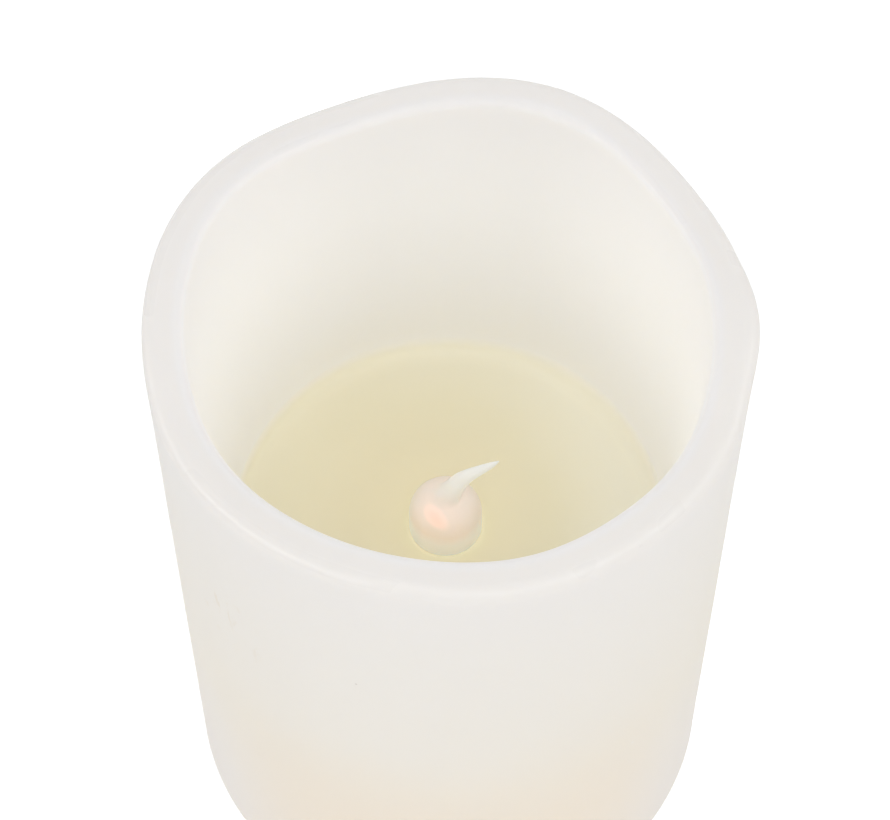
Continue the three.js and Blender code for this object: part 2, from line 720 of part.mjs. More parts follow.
add(
  "battery_wire_black",
  wire(
    [
      [TAB_FACE, cellY, loft],
      [21.5, 5.0, loft],
      [17.5, 2.2, loft],
      [13.5, -2.8, loft],
      [10, -8.4, loft],
      [7.6, -13.2, loft - 0.2],
      [6.9, -15.4, 14.4],
      [6.8, WIRE_LAND_Y, 12.4],
      [6.8, WIRE_LAND_Y, wireFoot],
    ],
    WIRE,
    24,
  ),
  BLACK_PVC,
);

export default candle;
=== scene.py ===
"""A battery candle: an ivory wax pillar with a deep cup, a frosted flame-shaped lamp on
the cup's floor, and a battery insert pressed into its underside.

Metres, +Z up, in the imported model's own frame. Bearings run from +Y towards +X."""
import math

import bpy
import numpy as np
from mathutils import Matrix, Quaternion, Vector, noise


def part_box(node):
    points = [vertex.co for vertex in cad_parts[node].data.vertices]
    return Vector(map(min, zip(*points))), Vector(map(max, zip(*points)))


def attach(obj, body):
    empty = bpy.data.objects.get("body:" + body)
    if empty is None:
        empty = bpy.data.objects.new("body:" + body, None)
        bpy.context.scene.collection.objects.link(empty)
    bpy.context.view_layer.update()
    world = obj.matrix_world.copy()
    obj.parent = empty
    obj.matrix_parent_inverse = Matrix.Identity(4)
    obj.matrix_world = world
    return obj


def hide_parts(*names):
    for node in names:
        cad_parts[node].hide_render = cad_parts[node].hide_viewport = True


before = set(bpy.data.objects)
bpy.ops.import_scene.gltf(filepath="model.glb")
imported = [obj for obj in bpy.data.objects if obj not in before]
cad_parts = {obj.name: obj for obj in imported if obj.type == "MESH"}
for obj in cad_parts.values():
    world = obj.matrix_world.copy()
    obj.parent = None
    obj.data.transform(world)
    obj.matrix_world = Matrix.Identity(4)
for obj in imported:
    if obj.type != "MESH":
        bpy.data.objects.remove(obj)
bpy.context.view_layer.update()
MM = 0.001

# ---------------------------------------------------------------- camera
CAMERA_ELEVATION = math.radians(58.0)
CAMERA_BACK = 184.4 * MM  # from the candle's axis, towards -Y
CAMERA_HEIGHT = 375.7 * MM
CAMERA_LENS = 109.8
CAMERA_SENSOR = 36.0
CAMERA_SHIFT = -0.0043


def make_camera():
    data = bpy.data.cameras.new("camera")
    data.lens = CAMERA_LENS
    data.sensor_width = CAMERA_SENSOR
    data.shift_x = CAMERA_SHIFT
    data.clip_start = 0.01
    data.clip_end = 20
    camera = bpy.data.objects.new("camera", data)
    camera.location = (0, -CAMERA_BACK, CAMERA_HEIGHT)
    camera.rotation_euler = (math.pi / 2 - CAMERA_ELEVATION, 0, 0)
    bpy.context.scene.collection.objects.link(camera)
    bpy.context.scene.camera = camera


# ---------------------------------------------------------------- mesh tools
def add_object(name, mesh, smooth=True):
    for polygon in mesh.polygons:
        polygon.use_smooth = smooth
    piece = bpy.data.objects.new(name, mesh)
    bpy.context.scene.collection.objects.link(piece)
    return piece


def skin(name, rings, closed):
    """A mesh over rings with the same number of points. A closed skin joins its last
    ring to its first; an open one ends in a fan at each end."""
    sides = len(rings[0])
    points = [p for ring in rings for p in ring]
    faces = []
    spans = len(rings) if closed else len(rings) - 1
    for i in range(spans):
        low, high = i * sides, (i + 1) % len(rings) * sides
        for k in range(sides):
            n = (k + 1) % sides
            faces.append((low + k, low + n, high + n, high + k))
    if not closed:
        for i, turn in ((0, True), (len(rings) - 1, False)):
            points.append(sum((Vector(p) for p in rings[i]), Vector()) / sides)
            for k in range(sides):
                a, b = i * sides + k, i * sides + (k + 1) % sides
                hub = len(points) - 1
                faces.append((hub, b, a) if turn else (hub, a, b))
    mesh = bpy.data.meshes.new(name)
    mesh.from_pydata(points, [], faces)
    mesh.validate()
    return add_object(name, mesh)


def arc(centre, radius, start, end, steps):
    """Points on an arc in the radius-height plane, with angles in degrees."""
    r, z = centre
    turns = [math.radians(start + (end - start) * i / steps) for i in range(steps + 1)]
    return [(r + radius * math.cos(a), z + radius * math.sin(a)) for a in turns]


def line(start, end, steps):
    """Points between two others in the radius-height plane, without the two ends."""
    return [
        tuple(a + (b - a) * i / steps for a, b in zip(start, end))
        for i in range(1, steps)
    ]


def ring(centre, along, radius, sides):
    """A ring of points about a centre, square to a direction."""
    turn = Vector((0, 0, 1)).rotation_difference(Vector(along))
    spokes = [2 * math.pi * k / sides for k in range(sides)]
    return [
        Vector(centre) + turn @ Vector((radius * math.cos(a), radius * math.sin(a), 0))
        for a in spokes
    ]


def curve_points(points, steps):
    """Evenly numbered points on a smooth curve through the given points."""
    points = [Vector(p) for p in points]
    ends = [2 * points[0] - points[1], *points, 2 * points[-1] - points[-2]]
    path = []
    for i in range(steps + 1):
        at = (len(points) - 1) * i / steps
        k = min(int(at), len(points) - 2)
        t = at - k
        a, b, c, d = ends[k:k + 4]
        path.append(
            0.5 * (2 * b + (c - a) * t + (2 * a - 5 * b + 4 * c - d) * t * t
                   + (3 * b - a - 3 * c + d) * t ** 3)
        )
    return path


def tube(name, path, radii, sides=16):
    """A closed tube along a path, with a radius at each point and a steady section."""
    rings = []
    turn = Quaternion()
    before = Vector((0, 0, 1))
    for i, p in enumerate(path):
        along = (path[min(i + 1, len(path) - 1)] - path[max(i - 1, 0)]).normalized()
        turn = before.rotation_difference(along) @ turn
        before = along
        spokes = [2 * math.pi * k / sides for k in range(sides)]
        rings.append([
            p + turn @ (radii[i] * Vector((math.cos(a), math.sin(a), 0))) for a in spokes
        ])
    return skin(name, rings, False)


def turned(name, profile, sides=64):
    """A closed profile of (radius, height) turned about the Z axis."""
    rings = [
        [(r * math.cos(2 * math.pi * k / sides), r * math.sin(2 * math.pi * k / sides), z)
         for k in range(sides)]
        for r, z in profile
    ]
    return skin(name, rings, False)


def stand_for(piece, node, body):
    """Hides the CAD node that a fine piece stands for and attaches the piece to the body it moves
    with.
    """
    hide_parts(node)
    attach(piece, body)
    return piece


def smooth_step(low, high, value):
    t = min(max((value - low) / (high - low), 0), 1)
    return t * t * (3 - 2 * t)


# ---------------------------------------------------------------- node tools
class Nodes:
    """A material's node tree, with one short call for each node."""

    def __init__(self, name):
        self.material = bpy.data.materials.new(name)
        self.material.use_nodes = True
        self.tree = self.material.node_tree
        self.shader = self.tree.nodes["Principled BSDF"]

    def put(self, kind, inputs=(), **settings):
        node = self.tree.nodes.new("ShaderNode" + kind)
        for key, value in settings.items():
            setattr(node, key, value)
        for key, value in dict(inputs).items():
            self.feed(node.inputs[key], value)
        return node

    def feed(self, socket, value):
        if isinstance(value, bpy.types.NodeSocket):
            self.tree.links.new(value, socket)
        else:
            socket.default_value = value

    def set(self, **inputs):
        """Sets the shader's sockets, with underscores for the spaces in their names."""
        for key, value in inputs.items():
            if isinstance(value, tuple) and len(value) == 3 and "Color" in key:
                value = (*value, 1)
            self.feed(self.shader.inputs[key.replace("_", " ")], value)

    def position(self):
        return self.put("TexCoord").outputs["Object"]

    def axes(self):
        """The object position's X, Y and Z."""
        return self.put("SeparateXYZ", {"Vector": self.position()}).outputs

    def distance_from(self, centre):
        """How far a surface point is from a fixed point of the object."""
        node = self.put("VectorMath", {0: self.position(), 1: centre}, operation="DISTANCE")
        return node.outputs["Value"]

    def stretched(self, scale):
        """The object position with each axis scaled, for grain that runs one way."""
        return self.put("Mapping", {"Vector": self.position(), "Scale": scale}).outputs["Vector"]

    def noise(self, scale, detail=3.0, roughness=0.5, vector=None):
        node = self.put("TexNoise", {"Scale": scale, "Detail": detail, "Roughness": roughness})
        self.feed(node.inputs["Vector"], vector or self.position())
        return node.outputs["Fac"]

    def specks(self, spacing, size, share):
        """Small round spots, one for each cell of a grid, kept only in a share of them."""
        cells = self.put("TexVoronoi", {"Vector": self.position(), "Scale": 1 / spacing})
        near = self.map(cells.outputs["Distance"], 0.0, size, 1.0, 0.0)
        pick = self.put("SeparateColor", {"Color": cells.outputs["Color"]}).outputs["Red"]
        return self.math("MULTIPLY", near, self.math("LESS_THAN", pick, share))

    def ramp(self, value, stops):
        node = self.put("ValToRGB", {"Fac": value})
        elements = node.color_ramp.elements
        while len(elements) < len(stops):
            elements.new(0.5)
        for element, (place, colour) in zip(elements, stops):
            element.position = place
            element.color = (*colour, 1)
        return node.outputs["Color"]

    def map(self, value, low, high, to_low=0.0, to_high=1.0, smooth=True):
        """A value's place between two others, in a new range and kept inside it."""
        ends = {"From Min": low, "From Max": high, "To Min": to_low, "To Max": to_high}
        kind = "SMOOTHSTEP" if smooth else "LINEAR"
        node = self.put("MapRange", {"Value": value, **ends}, interpolation_type=kind)
        return node.outputs["Result"]

    def mix(self, share, a, b):
        """One colour mixed into another by a share."""
        node = self.put("Mix", data_type="RGBA")
        for socket, value in zip((node.inputs[0], node.inputs[6], node.inputs[7]), (share, a, b)):
            if isinstance(value, tuple):
                value = (*value, 1)
            self.feed(socket, value)
        return node.outputs[2]

    def math(self, operation, a, b=0.0):
        node = self.put("Math", {0: a, 1: b}, operation=operation)
        return node.outputs[0]

    def add(self, *values):
        total = values[0]
        for value in values[1:]:
            total = self.math("ADD", total, value)
        return total

    def times(self, *values):
        total = values[0]
        for value in values[1:]:
            total = self.math("MULTIPLY", total, value)
        return total

    def away(self, value, middle):
        """How far a value is from a middle value, either way."""
        return self.math("ABSOLUTE", self.math("SUBTRACT", value, middle))

    def length(self, a, b):
        """The length of a line with these two parts, square to each other."""
        squares = [self.math("POWER", part, 2.0) for part in (a, b)]
        return self.math("SQRT", self.add(*squares))

    def bump(self, height, distance, strength):
        node = self.put("Bump", {"Height": height, "Distance": distance, "Strength": strength})
        self.set(Normal=node.outputs["Normal"])


def srgb(r, g, b):
    """A colour given as it looks on screen, 0 to 255, as the shader's linear colour."""
    return tuple(
        c / 255 / 12.92 if c / 255 <= 0.04045 else ((c / 255 + 0.055) / 1.055) ** 2.4
        for c in (r, g, b)
    )


# ---------------------------------------------------------------- the wax
# The wax's sizes are the CAD's, read from the imported parts' boxes where a box gives them.
WAX_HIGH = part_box("wax_body")[1]
PLATE_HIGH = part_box("insert_base")[1]
BULB_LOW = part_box("flame_bulb")[0]
WAX_RADIUS = WAX_HIGH.y
RIM_INNER = 32.2 * MM
RIM_OUTER_ROUND = 2.0 * MM
RIM_INNER_ROUND = 1.2 * MM
FLARE_BEARING = math.radians(88)
FLARE_HALF = math.radians(16)
FLARE_REACH = 0.7 * MM
FLARE_DEPTH = 12 * MM
CUP_FLOOR = 50.7 * MM
CUP_FLOOR_RADIUS = 29.6 * MM
CUP_FLOOR_ROUND = 2.4 * MM
FOOT_ROUND = 1.2 * MM
BULB_RADIUS = 5.0 * MM
BULB_X = BULB_LOW.x + BULB_RADIUS
COLUMN_BORE = 7.4 * MM
COLUMN_BORE_TOP = 46.0 * MM
CAVITY_RADIUS = PLATE_HIGH.x + 0.4 * MM
CAVITY_TOP = 19.0 * MM
WAX_BEARINGS = 288
SCRATCH_PATCH = (-27.9 * MM, -25.1 * MM, 71 * MM)
WORN_PLACES = [(-15.6 * MM, 29 * MM, 101 * MM), (25.6 * MM, 20.8 * MM, 101 * MM)]


def rim_heights(count):
    """The rim's height at evenly spaced bearings, read from the CAD wax. Its waves have
    few lobes, so their Fourier terms give every bearing between the CAD's own."""
    corners = [v.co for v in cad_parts["wax_body"].data.vertices]
    tops = {}
    for p in corners:
        bearing = round(math.degrees(math.atan2(p.x, p.y)) / 5) * 5 % 360
        tops[bearing] = max(tops.get(bearing, 0), p.z)
    heights = [tops[b] for b in sorted(tops)]
    terms = np.fft.rfft(heights)
    terms[12:] = 0
    full = np.zeros(count // 2 + 1, complex)
    full[:len(terms)] = terms[:len(full)]
    return np.fft.irfft(full, count) * count / len(heights)


def rim_flare(bearing):
    """How far the rim leans out at a bearing."""
    turn = bearing - FLARE_BEARING
    away = abs(math.atan2(math.sin(turn), math.cos(turn))) / FLARE_HALF
    return FLARE_REACH * math.cos(math.pi / 2 * away) ** 2 if away < 1 else 0


def wax_section(top, flare):
    """The wax's section at one bearing, from the outer foot over the rim and down to the
    cup's floor near the bulb, as a radius and a height."""
    foot = (WAX_RADIUS - FOOT_ROUND, FOOT_ROUND)
    lip = (WAX_RADIUS + flare - RIM_OUTER_ROUND, top - RIM_OUTER_ROUND)
    mouth = (RIM_INNER + RIM_INNER_ROUND, top - RIM_INNER_ROUND)
    corner = (CUP_FLOOR_RADIUS - CUP_FLOOR_ROUND, CUP_FLOOR + CUP_FLOOR_ROUND)
    outer = (arc(foot, FOOT_ROUND, -90, 0, 6), arc(lip, RIM_OUTER_ROUND, 0, 90, 12))
    inner = (arc(mouth, RIM_INNER_ROUND, 90, 180, 10), arc(corner, CUP_FLOOR_ROUND, 0, -90, 8))
    wall = []
    for r, z in line((WAX_RADIUS, FOOT_ROUND), (WAX_RADIUS, top - RIM_OUTER_ROUND), 48):
        wall.append((r + flare * smooth_step(top - FLARE_DEPTH, top - RIM_OUTER_ROUND, z), z))
    return [
        *outer[0],
        *wall,
        *outer[1],
        *line(outer[1][-1], inner[0][0], 4),
        *inner[0],
        *line(inner[0][-1], inner[1][0], 32),
        *inner[1],
        *line(inner[1][-1], (BULB_RADIUS * 1.3, CUP_FLOOR), 14),
    ]


def wax_hole():
    """Where the wax closes round the bulb with a small meniscus, then the hole and the
    insert's cavity, as a radius, a height and the shift along X of the ring's centre."""
    seat = BULB_RADIUS - 0.03 * MM
    rise = [(seat + 1.6 * MM * (1 - t) ** 2, CUP_FLOOR + 0.45 * MM * t ** 2)
            for t in (0.0, 0.25, 0.5, 0.75, 1.0)]
    return [
        *((r, z, BULB_X) for r, z in rise),
        (seat + 0.25 * MM, COLUMN_BORE_TOP, BULB_X),
        (COLUMN_BORE, COLUMN_BORE_TOP, 0),
        (COLUMN_BORE, CAVITY_TOP, 0),
        (CAVITY_RADIUS, CAVITY_TOP, 0),
        (CAVITY_RADIUS, 0, 0),
    ]


def uneven(p):
    """How far the cast surface wanders from its true form, along its own direction."""
    slow = noise.noise(Vector((p[0], p[1], p[2] * 0.7)) * 42)
    quick = noise.noise(Vector(p) * 150 + Vector((7, 3, 1)))
    return 0.10 * MM * slow + 0.025 * MM * quick


def wax_body():
    """The pillar: its section at each bearing, joined all the way round, with the cast
    surface a little uneven."""
    heights = rim_heights(WAX_BEARINGS)
    sections = []
    for k in range(WAX_BEARINGS):
        bearing = -2 * math.pi * k / WAX_BEARINGS
        top = heights[-k % WAX_BEARINGS]
        x, y = math.sin(bearing), math.cos(bearing)
        section = []
        for r, z in wax_section(top, rim_flare(bearing)):
            inside = r < RIM_INNER + RIM_INNER_ROUND / 2
            wander = uneven((r * x, r * y, z)) * smooth_step(0, 4 * MM, z)
            if inside:
                r, z = (r - abs(wander), z) if z > CUP_FLOOR + 1 * MM else (r, z + wander / 2)
            else:
                r -= abs(wander)
            section.append((r * x, r * y, z))
        section += [(r * x + shift, r * y, z) for r, z, shift in wax_hole()]
        sections.append(section)
    wax = skin("wax_pillar", list(zip(*sections)), True)
    return stand_for(wax, "wax_body", "candle")


def outside_colour(n, y, height):
    """The outside, from the foot up to the rim, with a painted warm glow low on the front."""
    outside = n.ramp(n.map(height, 10 * MM, 104 * MM, smooth=False), [
        (0.00, srgb(249, 243, 236)),
        (0.35, srgb(252, 246, 234)),
        (0.75, srgb(252, 248, 241)),
        (1.00, srgb(252, 249, 246)),
    ])
    # Painted light: a warm glow low on the front of the wax, blended in up to three quarters.
    painted_low_glow = n.times(n.map(height, 60 * MM, 26 * MM), n.map(y, -18 * MM, -36 * MM))
    return n.mix(n.times(painted_low_glow, 0.75), outside, srgb(254, 240, 219))


def cup_colour_and_painted_bounce(n, x, across, height, wander, low):
    """The cup's wall, from the floor up to the rim, and its floor, from the bulb outwards. Their
    yellower, darker tone towards the floor is painted bounce light between the wax walls.
    """
    # Painted bounce light: the wall a little darker and yellower towards the floor.
    wall = n.ramp(n.map(height, 52 * MM, 104 * MM, smooth=False), [
        (0.00, srgb(249, 247, 243)),
        (0.25, srgb(249, 248, 247)),
        (0.60, srgb(251, 250, 249)),
        (1.00, srgb(252, 250, 249)),
    ])
    # Painted bounce light: the floor's yellow, over the wax's ivory, fading away from the bulb and
    # towards +X.
    reach = n.add(across, n.times(wander, 8 * MM), n.times(x, 0.25))
    floor = n.ramp(n.map(reach, 4 * MM, 34 * MM, smooth=False), [
        (0.0, srgb(236, 223, 184)),
        (0.6, srgb(239, 231, 199)),
        (1.0, srgb(244, 239, 217)),
    ])
    return n.mix(low, wall, floor)


def painted_cup_glow(n, x, z, across, cup):
    """How strongly the cup's wax glows, as painted light: an emission that lifts the cup's
    sheltered parts out of their shade, as light through the milky wax would, and a painted glow of
    the lamp on the wax close to the bulb."""
    shelter = n.put("AmbientOcclusion", {"Distance": 90 * MM}, samples=6).outputs["AO"]
    right = n.map(x, 8 * MM, 32 * MM, 1.0, 2.2)
    left = n.map(x, -8 * MM, -32 * MM, 0.0, 0.9)
    # Painted fill light: more where the cup is sheltered, more on its sides, most on the right,
    # and less towards the floor.
    deep = n.times(
        cup,
        n.map(shelter, 1.0, 0.0, 0.0, 0.127, smooth=False),
        n.map(across, 33.2 * MM, 32.3 * MM),
        n.map(z, CUP_FLOOR, CUP_FLOOR + 40 * MM, 0.36, 1.0),
        n.add(right, left),
    )
    # Painted fill light in the corner of the cup's floor, where shade falls.
    corner = n.times(
        n.map(across, 25 * MM, 29 * MM),
        n.map(z, CUP_FLOOR + 5 * MM, CUP_FLOOR + 1 * MM),
        cup,
        0.012,
    )
    # Painted lamp glow on the wax round the bulb.
    from_bulb = n.distance_from((BULB_X, 0, CUP_FLOOR))
    close = n.add(
        n.map(from_bulb, 15 * MM, 4 * MM, 0.0, 0.06),
        n.map(from_bulb, BULB_RADIUS * 1.12, BULB_RADIUS * 1.02, 0.0, 0.02),
    )
    return n.add(deep, corner, n.times(cup, close))


def wax_marks(n, colour):
    """Dark and pale specks all over, and a patch of faint, yellowed scratches."""
    dark = n.specks(13 * MM, 0.018, 0.4)
    pale = n.specks(23 * MM, 0.02, 0.3)
    colour = n.mix(n.times(dark, 0.45), colour, srgb(150, 130, 105))
    colour = n.mix(n.times(pale, 0.5), colour, srgb(255, 253, 248))
    patch = n.map(n.distance_from(SCRATCH_PATCH), 9 * MM, 3 * MM)
    scratch = n.noise(620, 3.0, 0.6, n.stretched((1.0, 1.0, 0.28)))
    scratch = n.times(n.map(scratch, 0.56, 0.66), patch)
    return n.mix(n.times(scratch, 0.2), colour, srgb(230, 212, 176))


def wax_roughness(n, z, across):
    """Dull wax, rubbed glossy along the rim's outer edge and at two places inside it."""
    rub = n.noise(26, 4.0, 0.6, n.stretched((1.0, 1.0, 0.35)))
    outer = n.times(n.map(across, 35.0 * MM, 36.0 * MM), n.map(across, 37.35 * MM, 37.1 * MM))
    inner = n.times(n.map(across, 32.4 * MM, 32.7 * MM), n.map(across, 34.0 * MM, 33.3 * MM))
    worn = [n.map(n.distance_from(place), 12 * MM, 6 * MM) for place in WORN_PLACES]
    inner = n.times(inner, n.math("MAXIMUM", *worn))
    edge = n.times(n.add(outer, inner), n.map(z, 80 * MM, 84 * MM))
    return n.mix(edge, n.map(rub, 0.3, 0.7, 0.36, 0.5), n.map(rub, 0.3, 0.7, 0.22, 0.38))


def wax_material():
    """Ivory paraffin: milky, with painted bounce light making it whiter at the rim and yellower
    deep in the cup, and a painted glow in the cup.
    """
    n = Nodes("ivory_wax")
    x, y, z = (n.axes()[a] for a in "XYZ")
    across = n.length(x, y)
    cup = n.times(n.map(across, 34.4 * MM, 33.0 * MM), n.map(z, 48 * MM, 50 * MM))
    low = n.map(z, CUP_FLOOR + 2.6 * MM, CUP_FLOOR + 0.4 * MM)
    wander = n.noise(30, 2.0)
    height = n.add(z, n.times(n.math("SUBTRACT", wander, 0.5), 12 * MM))
    inside = cup_colour_and_painted_bounce(n, x, across, height, wander, low)
    colour = n.mix(cup, outside_colour(n, y, height), inside)
    n.set(
        Base_Color=wax_marks(n, colour),
        # The emission is painted light: fill light in the cup and a lamp glow round the bulb.
        Emission_Color=n.mix(0.5, inside, srgb(255, 255, 255)),
        Emission_Strength=painted_cup_glow(n, x, z, across, cup),
        Subsurface_Weight=0.5,
        Subsurface_Radius=(1.0, 0.8, 0.5),
        Subsurface_Scale=3 * MM,
        Specular_IOR_Level=0.35,
        IOR=1.44,
        Roughness=wax_roughness(n, z, across),
    )
    n.shader.subsurface_method = "BURLEY"
    n.bump(n.add(n.noise(420, 4.0, 0.55), n.times(n.noise(90, 2.0), 2.0)), 0.03 * MM, 0.35)
    return n.material


# ---------------------------------------------------------------- the bulb and its lamp
BULB_WALL = 1.0 * MM
BULB_FOOT = BULB_LOW.z
BULB_DOME = CUP_FLOOR + 3.5 * MM
DOME_TURN = 55
# The tip: how far along X, how high over the cup's floor and its radius, in millimetres.
TIP = [
    (-0.42, 7.75, 2.7),
    (-0.2, 8.25, 2.1),
    (0.1, 8.9, 1.7),
    (0.65, 10.0, 1.4),
    (1.5, 11.75, 1.15),
    (2.7, 13.1, 0.9),
    (3.95, 14.15, 0.7),
    (5.2, 15.2, 0.5),
    (6.05, 16.0, 0.3),
    (6.6, 16.6, 0.07),
]
BULB_SIDES = 64
GLOW_CENTRE = (-1.9 * MM, -2.9 * MM, CUP_FLOOR + 7.3 * MM)  # on the bulb's skin
GLOW_ALONG = (0.71, -0.60, -0.37)  # the lamp's glow is longer this way


def dome_rings(radius, last_angle, steps):
    """The bulb's skirt and dome as rings, up to where the dome has turned through an angle."""
    rings = [ring((BULB_X, 0, BULB_FOOT), (0, 0, 1), radius, BULB_SIDES)]
    for i in range(steps + 1):
        a = math.radians(last_angle * i / steps)
        centre = (BULB_X, 0, BULB_DOME + radius * math.sin(a))
        rings.append(ring(centre, (0, 0, 1), radius * math.cos(a), BULB_SIDES))
    return rings


def flame_bulb():
    """The bulb as one skin, from the top of its hollow, round its foot and up to its bent
    tip."""
    spine = curve_points(TIP, 64)
    centres = [Vector((x * MM, 0.3 * MM * smooth_step(9, 15, z), z * MM + CUP_FLOOR))
               for x, z, r in spine]
    tip = []
    for i, (p, (_, _, r)) in enumerate(zip(centres, spine)):
        along = centres[min(i + 1, len(spine) - 1)] - centres[max(i - 1, 0)]
        along = Vector((0, 0, 1)).lerp(along.normalized(), smooth_step(7.8, 9.2, spine[i].y))
        tip.append(ring(p, along, r * MM, BULB_SIDES))
    inside = dome_rings(BULB_RADIUS - BULB_WALL, 84, 16)[::-1]
    rings = [*inside, *dome_rings(BULB_RADIUS, DOME_TURN, 20), *tip]
    bulb = skin("flame_shaped_bulb", rings, False)
    return stand_for(bulb, "flame_bulb", "candle")


def bulb_material():
    """Frosted milky plastic. Its glow is painted light: emission where the lamp stands close to
    its skin, and painted fill light in its sheltered parts, at its tip and at its seam with the
    wax.
    """
    n = Nodes("frosted_bulb")
    z = n.axes()["Z"]
    body = n.ramp(n.map(z, CUP_FLOOR, CUP_FLOOR + 12 * MM, smooth=False), [
        (0.0, srgb(224, 238, 236)),
        (0.25, srgb(224, 234, 230)),
        (0.4, srgb(227, 225, 213)),
        (0.7, srgb(238, 234, 228)),
        (1.0, srgb(242, 239, 235)),
    ])
    cloud = n.noise(260, 3.0)
    body = n.mix(n.map(cloud, 0.35, 0.7, 0.0, 0.12), body, srgb(250, 246, 240))
    # The lamp's light through the bulb, painted as emission on its skin: a hot core and a softer
    # halo.
    spot = n.put(
        "Mapping",
        {"Vector": n.position(), "Location": GLOW_CENTRE, "Scale": (3.1 * MM, 1.6 * MM, 1.6 * MM)},
        vector_type="TEXTURE",
    )
    lean = Vector((1, 0, 0)).rotation_difference(Vector(GLOW_ALONG))
    spot.inputs["Rotation"].default_value = lean.to_euler()
    reach = n.put("VectorMath", {0: spot.outputs["Vector"]}, operation="LENGTH").outputs["Value"]
    core = n.map(reach, 1.0, 0.1)
    halo = n.map(n.distance_from(GLOW_CENTRE), 7 * MM, 1.5 * MM)
    # Painted fill light: emission that lifts the bulb's sheltered parts and its seam with the wax
    # out of their shade, and a little more at its tip.
    shelter = n.put("AmbientOcclusion", {"Distance": 25 * MM}, samples=6).outputs["AO"]
    shade = n.map(shelter, 0.9, 0.1, 0.0, 0.12, smooth=False)
    point = n.map(z, CUP_FLOOR + 9 * MM, CUP_FLOOR + 12 * MM, 0.0, 0.07)
    seam = n.map(z, CUP_FLOOR + 1.3 * MM, CUP_FLOOR + 0.4 * MM, 0.0, 0.09)
    n.set(
        Base_Color=body,
        Emission_Color=n.mix(
            core,
            n.mix(halo, srgb(226, 242, 230), srgb(255, 214, 180)),
            srgb(255, 112, 60),
        ),
        Emission_Strength=n.add(n.times(core, 0.24), n.times(halo, 0.07), shade, point, seam),
        Subsurface_Weight=0.8,
        Subsurface_Radius=(1.0, 0.9, 0.8),
        Subsurface_Scale=2 * MM,
        Roughness=n.map(cloud, 0.3, 0.7, 0.38, 0.5),
    )
    n.bump(n.noise(1500, 2.0), 0.01 * MM, 0.4)
    return n.material


# ---------------------------------------------------------------- the insert's finishes
CELL_RADIUS = 5.25 * MM
SPRING_WIRE = 0.28 * MM
SPRING_WIDE = 3.6 * MM
SPRING_NARROW = 2.4 * MM
SPRING_TURNS = 3
SPRING_STEPS = 150
PAD_SPACING = 2.54 * MM
STRIPE_TURN = 1.2  # where the capacitor's stripe is, and half its width, as angles
STRIPE_HALF = 0.45
BAND_HALF = 0.17 * MM
RESISTOR_HALF = 2.02 * MM
RESISTOR_BANDS = [  # where along the body, in millimetres, and the paint
    (-1.05, (120, 66, 30)),
    (-0.45, (28, 26, 26)),
    (0.15, (176, 38, 30)),
    (0.95, (190, 152, 60)),
]


def moulded(name, colour, shade, rough=0.42, grain=1400):
    """Moulded plastic: a fine spark-eroded grain, faint flow marks and uneven gloss."""
    n = Nodes(name)
    flow = n.noise(55, 3.0, 0.6, n.stretched((1.0, 0.35, 1.0)))
    n.set(
        Base_Color=n.mix(n.map(flow, 0.3, 0.75), srgb(*colour), srgb(*shade)),
        Roughness=n.map(n.noise(320, 3.0), 0.3, 0.7, rough - 0.06, rough + 0.1),
        Specular_IOR_Level=0.5,
    )
    n.bump(n.noise(grain, 3.0, 0.6), 0.015 * MM, 0.5)
    return n.material


def metal(name, colour, rough, drawn):
    """Drawn or rolled metal: fine lines along the grain, with duller stains."""
    n = Nodes(name)
    lines = n.noise(900, 3.0, 0.6, n.stretched(drawn))
    stain = n.noise(120, 4.0, 0.6)
    dull = tuple(0.78 * c for c in colour)
    drawn_gloss = n.map(lines, 0.3, 0.7, rough - 0.06, rough + 0.06)
    n.set(
        Base_Color=n.mix(n.map(stain, 0.45, 0.75), srgb(*colour), srgb(*dull)),
        Metallic=1.0,
        Roughness=n.add(drawn_gloss, n.map(stain, 0.5, 0.8, 0.0, 0.15)),
    )
    n.bump(lines, 0.004 * MM, 0.5)
    return n.material


def pvc(name, colour, shade):
    """Soft PVC insulation, with slight ripples along it and scuffs that are duller."""
    n = Nodes(name)
    scuff = n.noise(420, 4.0, 0.65)
    n.set(
        Base_Color=n.mix(n.map(scuff, 0.5, 0.8), srgb(*colour), srgb(*shade)),
        Roughness=n.map(scuff, 0.3, 0.75, 0.34, 0.55),
    )
    n.bump(n.noise(1100, 2.0), 0.012 * MM, 0.4)
    return n.material


def clear_epoxy():
    """The lamp's clear lens, warmly tinted and glowing above its flange."""
    n = Nodes("clear_epoxy")
    z = n.axes()["Z"]
    cloud = n.noise(500, 2.0)
    n.set(
        Base_Color=n.mix(n.map(cloud, 0.3, 0.7), srgb(255, 232, 205), srgb(255, 214, 172)),
        Transmission_Weight=0.75,
        IOR=1.54,
        Roughness=n.map(cloud, 0.3, 0.7, 0.06, 0.14),
        Emission_Color=srgb(255, 158, 92),
        Emission_Strength=n.map(z, BULB_FOOT + 1 * MM, BULB_FOOT + 4 * MM, 0.0, 1.2),
    )
    return n.material


